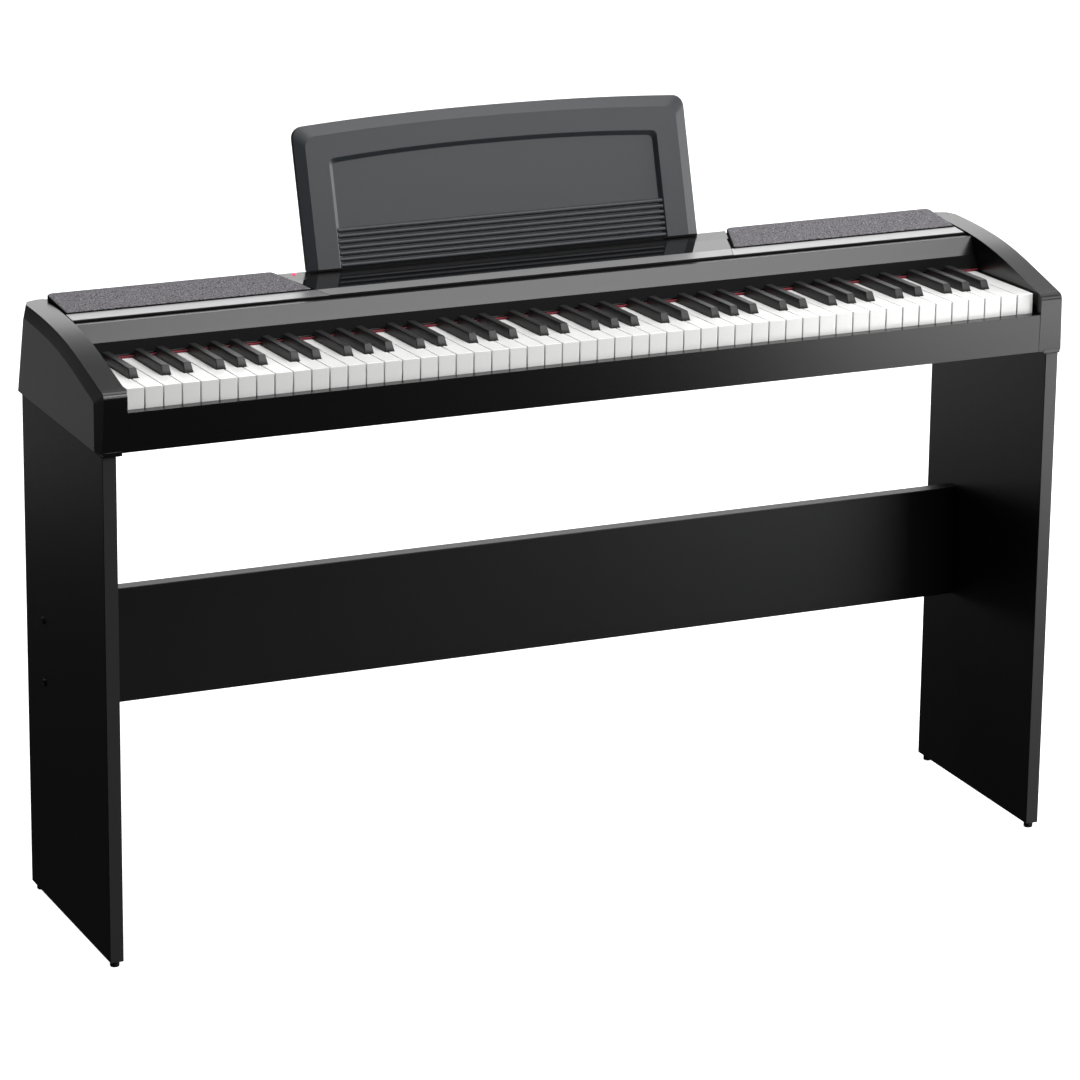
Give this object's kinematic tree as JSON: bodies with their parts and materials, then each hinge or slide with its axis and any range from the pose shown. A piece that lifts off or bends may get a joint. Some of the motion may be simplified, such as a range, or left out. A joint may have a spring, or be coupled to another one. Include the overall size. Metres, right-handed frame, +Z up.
{
  "type": "digital piano",
  "caption": "Slim digital piano with a full-size keyboard, speaker covers and a leaning music rest, standing on two side boards that a back board joins.",
  "frame": {"origin": "middle of the bounding box on the floor", "axes": "+X to the player's right, -Y to the front where the player sits, +Z up"},
  "size_m": [1.3, 0.3614, 0.9531],
  "materials": {
    "black_gloss": "glossy black moulding",
    "black_satin": "satin black moulding",
    "centre_gloss": "mirror gloss black",
    "silver_trim": "brushed silver",
    "speaker_cloth": "woven dark grey cloth",
    "speaker_cone": "matte dark grey",
    "rest_plastic": "matte dark grey moulding",
    "white_key": "glossy white",
    "black_key": "matte black",
    "red_felt": "dark red felt",
    "stand_board": "black laminated board",
    "foot_plastic": "black",
    "chassis_steel": "zinc plated sheet",
    "circuit_board": "green circuit board",
    "lamp_red": "clear red lamp"
  },
  "bodies": {
    "piano": {"back_board": "stand_board", "bottom_case": "black_satin", "centre_panel": "centre_gloss", "control_board": "circuit_board", "front_rail": "black_gloss", "key_chassis": "chassis_steel", "key_felt": "red_felt", "left_cheek": "black_gloss", "left_front_foot": "foot_plastic", "left_rear_foot": "foot_plastic", "left_side_board": "stand_board", "left_speaker": "speaker_cone", "left_speaker_cover": "speaker_cloth", "left_trim_strip": "silver_trim", "main_board": "circuit_board", "power_lamp": "lamp_red", "right_cheek": "black_gloss", "right_front_foot": "foot_plastic", "right_rear_foot": "foot_plastic", "right_side_board": "stand_board", "right_speaker": "speaker_cone", "right_speaker_cover": "speaker_cloth", "right_trim_strip": "silver_trim", "socket_panel": "black_satin", "top_case": "black_satin"},
    "music_rest": {"music_rest": "rest_plastic"},
    "volume_knob": {"volume_knob": "black_satin"},
    "power_button": {"power_button": "black_satin"},
    "function_button": {"function_button": "black_satin"},
    "keys_1_outer": {"keys_1_outer": "white_key"},
    "keys_1_inner": {"keys_1_inner": "white_key"},
    "keys_1_sharp": {"keys_1_sharp": "black_key"},
    "keys_2_outer": {"keys_2_outer": "white_key"},
    "keys_2_inner": {"keys_2_inner": "white_key"},
    "keys_2_sharp": {"keys_2_sharp": "black_key"},
    "keys_3_outer": {"keys_3_outer": "white_key"},
    "keys_3_inner": {"keys_3_inner": "white_key"},
    "keys_3_sharp": {"keys_3_sharp": "black_key"},
    "key_c4": {"key_c4": "white_key"},
    "key_d4": {"key_d4": "white_key"},
    "key_e4": {"key_e4": "white_key"},
    "key_f4": {"key_f4": "white_key"},
    "key_g4": {"key_g4": "white_key"},
    "key_a4": {"key_a4": "white_key"},
    "key_b4": {"key_b4": "white_key"},
    "key_cs4": {"key_cs4": "black_key"},
    "key_ds4": {"key_ds4": "black_key"},
    "key_fs4": {"key_fs4": "black_key"},
    "key_gs4": {"key_gs4": "black_key"},
    "key_as4": {"key_as4": "black_key"},
    "keys_5_outer": {"keys_5_outer": "white_key"},
    "keys_5_inner": {"keys_5_inner": "white_key"},
    "keys_5_sharp": {"keys_5_sharp": "black_key"},
    "keys_6_outer": {"keys_6_outer": "white_key"},
    "keys_6_inner": {"keys_6_inner": "white_key"},
    "keys_6_sharp": {"keys_6_sharp": "black_key"},
    "keys_7_outer": {"keys_7_outer": "white_key"},
    "keys_7_inner": {"keys_7_inner": "white_key"},
    "keys_7_sharp": {"keys_7_sharp": "black_key"}
  },
  "joints": [
    {"name": "music_rest_lift", "type": "slide", "parent": "piano", "child": "music_rest", "axis": [0, 0.2924, 0.9563], "range_m": [0, 0.06]},
    {"name": "volume_turn", "type": "hinge", "parent": "piano", "child": "volume_knob", "pos_m": [-0.222, 0.13112, 0.735], "axis": [0, 1, 0], "range_deg": [-140, 140]},
    {"name": "power_button_press", "type": "slide", "parent": "piano", "child": "power_button", "axis": [0, -1, 0], "range_m": [0, 0.0015], "stiffness_N_per_m": 300, "springref_m": -0.002},
    {"name": "function_button_press", "type": "slide", "parent": "piano", "child": "function_button", "axis": [0, -1, 0], "range_m": [0, 0.0015], "stiffness_N_per_m": 300, "springref_m": -0.002},
    {"name": "keys_1_outer_press", "type": "hinge", "parent": "piano", "child": "keys_1_outer", "pos_m": [-0.50525, 0.07111, 0.7103], "axis": [1, 0, 0], "range_deg": [0, 2.45], "stiffness_Nm_per_rad": 7.5, "springref_deg": -7.45},
    {"name": "keys_1_inner_press", "type": "hinge", "parent": "piano", "child": "keys_1_inner", "pos_m": [-0.50525, 0.07111, 0.7103], "axis": [1, 0, 0], "range_deg": [0, 2.45], "stiffness_Nm_per_rad": 6, "springref_deg": -7.45},
    {"name": "keys_1_sharp_press", "type": "hinge", "parent": "piano", "child": "keys_1_sharp", "pos_m": [-0.49685, 0.07111, 0.7103], "axis": [1, 0, 0], "range_deg": [0, 2.9], "stiffness_Nm_per_rad": 7.2, "springref_deg": -7.45},
    {"name": "keys_2_outer_press", "type": "hinge", "parent": "piano", "child": "keys_2_outer", "pos_m": [-0.31725, 0.07111, 0.7103], "axis": [1, 0, 0], "range_deg": [0, 2.45], "stiffness_Nm_per_rad": 6, "springref_deg": -7.45},
    {"name": "keys_2_inner_press", "type": "hinge", "parent": "piano", "child": "keys_2_inner", "pos_m": [-0.31725, 0.07111, 0.7103], "axis": [1, 0, 0], "range_deg": [0, 2.45], "stiffness_Nm_per_rad": 4.5, "springref_deg": -7.45},
    {"name": "keys_2_sharp_press", "type": "hinge", "parent": "piano", "child": "keys_2_sharp", "pos_m": [-0.3149, 0.07111, 0.7103], "axis": [1, 0, 0], "range_deg": [0, 2.9], "stiffness_Nm_per_rad": 6, "springref_deg": -7.45},
    {"name": "keys_3_outer_press", "type": "hinge", "parent": "piano", "child": "keys_3_outer", "pos_m": [-0.15275, 0.07111, 0.7103], "axis": [1, 0, 0], "range_deg": [0, 2.45], "stiffness_Nm_per_rad": 6, "springref_deg": -7.45},
    {"name": "keys_3_inner_press", "type": "hinge", "parent": "piano", "child": "keys_3_inner", "pos_m": [-0.15275, 0.07111, 0.7103], "axis": [1, 0, 0], "range_deg": [0, 2.45], "stiffness_Nm_per_rad": 4.5, "springref_deg": -7.45},
    {"name": "keys_3_sharp_press", "type": "hinge", "parent": "piano", "child": "keys_3_sharp", "pos_m": [-0.1504, 0.07111, 0.7103], "axis": [1, 0, 0], "range_deg": [0, 2.9], "stiffness_Nm_per_rad": 6, "springref_deg": -7.45},
    {"name": "key_c4_press", "type": "hinge", "parent": "piano", "child": "key_c4", "pos_m": [-0.05875, 0.07111, 0.7103], "axis": [1, 0, 0], "range_deg": [0, 2.45], "stiffness_Nm_per_rad": 1.5, "springref_deg": -7.45},
    {"name": "key_d4_press", "type": "hinge", "parent": "piano", "child": "key_d4", "pos_m": [-0.03525, 0.07111, 0.7103], "axis": [1, 0, 0], "range_deg": [0, 2.45], "stiffness_Nm_per_rad": 1.5, "springref_deg": -7.45},
    {"name": "key_e4_press", "type": "hinge", "parent": "piano", "child": "key_e4", "pos_m": [-0.01175, 0.07111, 0.7103], "axis": [1, 0, 0], "range_deg": [0, 2.45], "stiffness_Nm_per_rad": 1.5, "springref_deg": -7.45},
    {"name": "key_f4_press", "type": "hinge", "parent": "piano", "child": "key_f4", "pos_m": [0.01175, 0.07111, 0.7103], "axis": [1, 0, 0], "range_deg": [0, 2.45], "stiffness_Nm_per_rad": 1.5, "springref_deg": -7.45},
    {"name": "key_g4_press", "type": "hinge", "parent": "piano", "child": "key_g4", "pos_m": [0.03525, 0.07111, 0.7103], "axis": [1, 0, 0], "range_deg": [0, 2.45], "stiffness_Nm_per_rad": 1.5, "springref_deg": -7.45},
    {"name": "key_a4_press", "type": "hinge", "parent": "piano", "child": "key_a4", "pos_m": [0.05875, 0.07111, 0.7103], "axis": [1, 0, 0], "range_deg": [0, 2.45], "stiffness_Nm_per_rad": 1.5, "springref_deg": -7.45},
    {"name": "key_b4_press", "type": "hinge", "parent": "piano", "child": "key_b4", "pos_m": [0.08225, 0.07111, 0.7103], "axis": [1, 0, 0], "range_deg": [0, 2.45], "stiffness_Nm_per_rad": 1.5, "springref_deg": -7.45},
    {"name": "key_cs4_press", "type": "hinge", "parent": "piano", "child": "key_cs4", "pos_m": [-0.0493, 0.07111, 0.7103], "axis": [1, 0, 0], "range_deg": [0, 2.9], "stiffness_Nm_per_rad": 1.2, "springref_deg": -7.45},
    {"name": "key_ds4_press", "type": "hinge", "parent": "piano", "child": "key_ds4", "pos_m": [-0.0212, 0.07111, 0.7103], "axis": [1, 0, 0], "range_deg": [0, 2.9], "stiffness_Nm_per_rad": 1.2, "springref_deg": -7.45},
    {"name": "key_fs4_press", "type": "hinge", "parent": "piano", "child": "key_fs4", "pos_m": [0.0201, 0.07111, 0.7103], "axis": [1, 0, 0], "range_deg": [0, 2.9], "stiffness_Nm_per_rad": 1.2, "springref_deg": -7.45},
    {"name": "key_gs4_press", "type": "hinge", "parent": "piano", "child": "key_gs4", "pos_m": [0.047, 0.07111, 0.7103], "axis": [1, 0, 0], "range_deg": [0, 2.9], "stiffness_Nm_per_rad": 1.2, "springref_deg": -7.45},
    {"name": "key_as4_press", "type": "hinge", "parent": "piano", "child": "key_as4", "pos_m": [0.0739, 0.07111, 0.7103], "axis": [1, 0, 0], "range_deg": [0, 2.9], "stiffness_Nm_per_rad": 1.2, "springref_deg": -7.45},
    {"name": "keys_5_outer_press", "type": "hinge", "parent": "piano", "child": "keys_5_outer", "pos_m": [0.17625, 0.07111, 0.7103], "axis": [1, 0, 0], "range_deg": [0, 2.45], "stiffness_Nm_per_rad": 6, "springref_deg": -7.45},
    {"name": "keys_5_inner_press", "type": "hinge", "parent": "piano", "child": "keys_5_inner", "pos_m": [0.17625, 0.07111, 0.7103], "axis": [1, 0, 0], "range_deg": [0, 2.45], "stiffness_Nm_per_rad": 4.5, "springref_deg": -7.45},
    {"name": "keys_5_sharp_press", "type": "hinge", "parent": "piano", "child": "keys_5_sharp", "pos_m": [0.1786, 0.07111, 0.7103], "axis": [1, 0, 0], "range_deg": [0, 2.9], "stiffness_Nm_per_rad": 6, "springref_deg": -7.45},
    {"name": "keys_6_outer_press", "type": "hinge", "parent": "piano", "child": "keys_6_outer", "pos_m": [0.34075, 0.07111, 0.7103], "axis": [1, 0, 0], "range_deg": [0, 2.45], "stiffness_Nm_per_rad": 6, "springref_deg": -7.45},
    {"name": "keys_6_inner_press", "type": "hinge", "parent": "piano", "child": "keys_6_inner", "pos_m": [0.34075, 0.07111, 0.7103], "axis": [1, 0, 0], "range_deg": [0, 2.45], "stiffness_Nm_per_rad": 4.5, "springref_deg": -7.45},
    {"name": "keys_6_sharp_press", "type": "hinge", "parent": "piano", "child": "keys_6_sharp", "pos_m": [0.3431, 0.07111, 0.7103], "axis": [1, 0, 0], "range_deg": [0, 2.9], "stiffness_Nm_per_rad": 6, "springref_deg": -7.45},
    {"name": "keys_7_outer_press", "type": "hinge", "parent": "piano", "child": "keys_7_outer", "pos_m": [0.50525, 0.07111, 0.7103], "axis": [1, 0, 0], "range_deg": [0, 2.45], "stiffness_Nm_per_rad": 6, "springref_deg": -7.45},
    {"name": "keys_7_inner_press", "type": "hinge", "parent": "piano", "child": "keys_7_inner", "pos_m": [0.52875, 0.07111, 0.7103], "axis": [1, 0, 0], "range_deg": [0, 2.45], "stiffness_Nm_per_rad": 6, "springref_deg": -7.45},
    {"name": "keys_7_sharp_press", "type": "hinge", "parent": "piano", "child": "keys_7_sharp", "pos_m": [0.5076, 0.07111, 0.7103], "axis": [1, 0, 0], "range_deg": [0, 2.9], "stiffness_Nm_per_rad": 6, "springref_deg": -7.45}
  ]
}
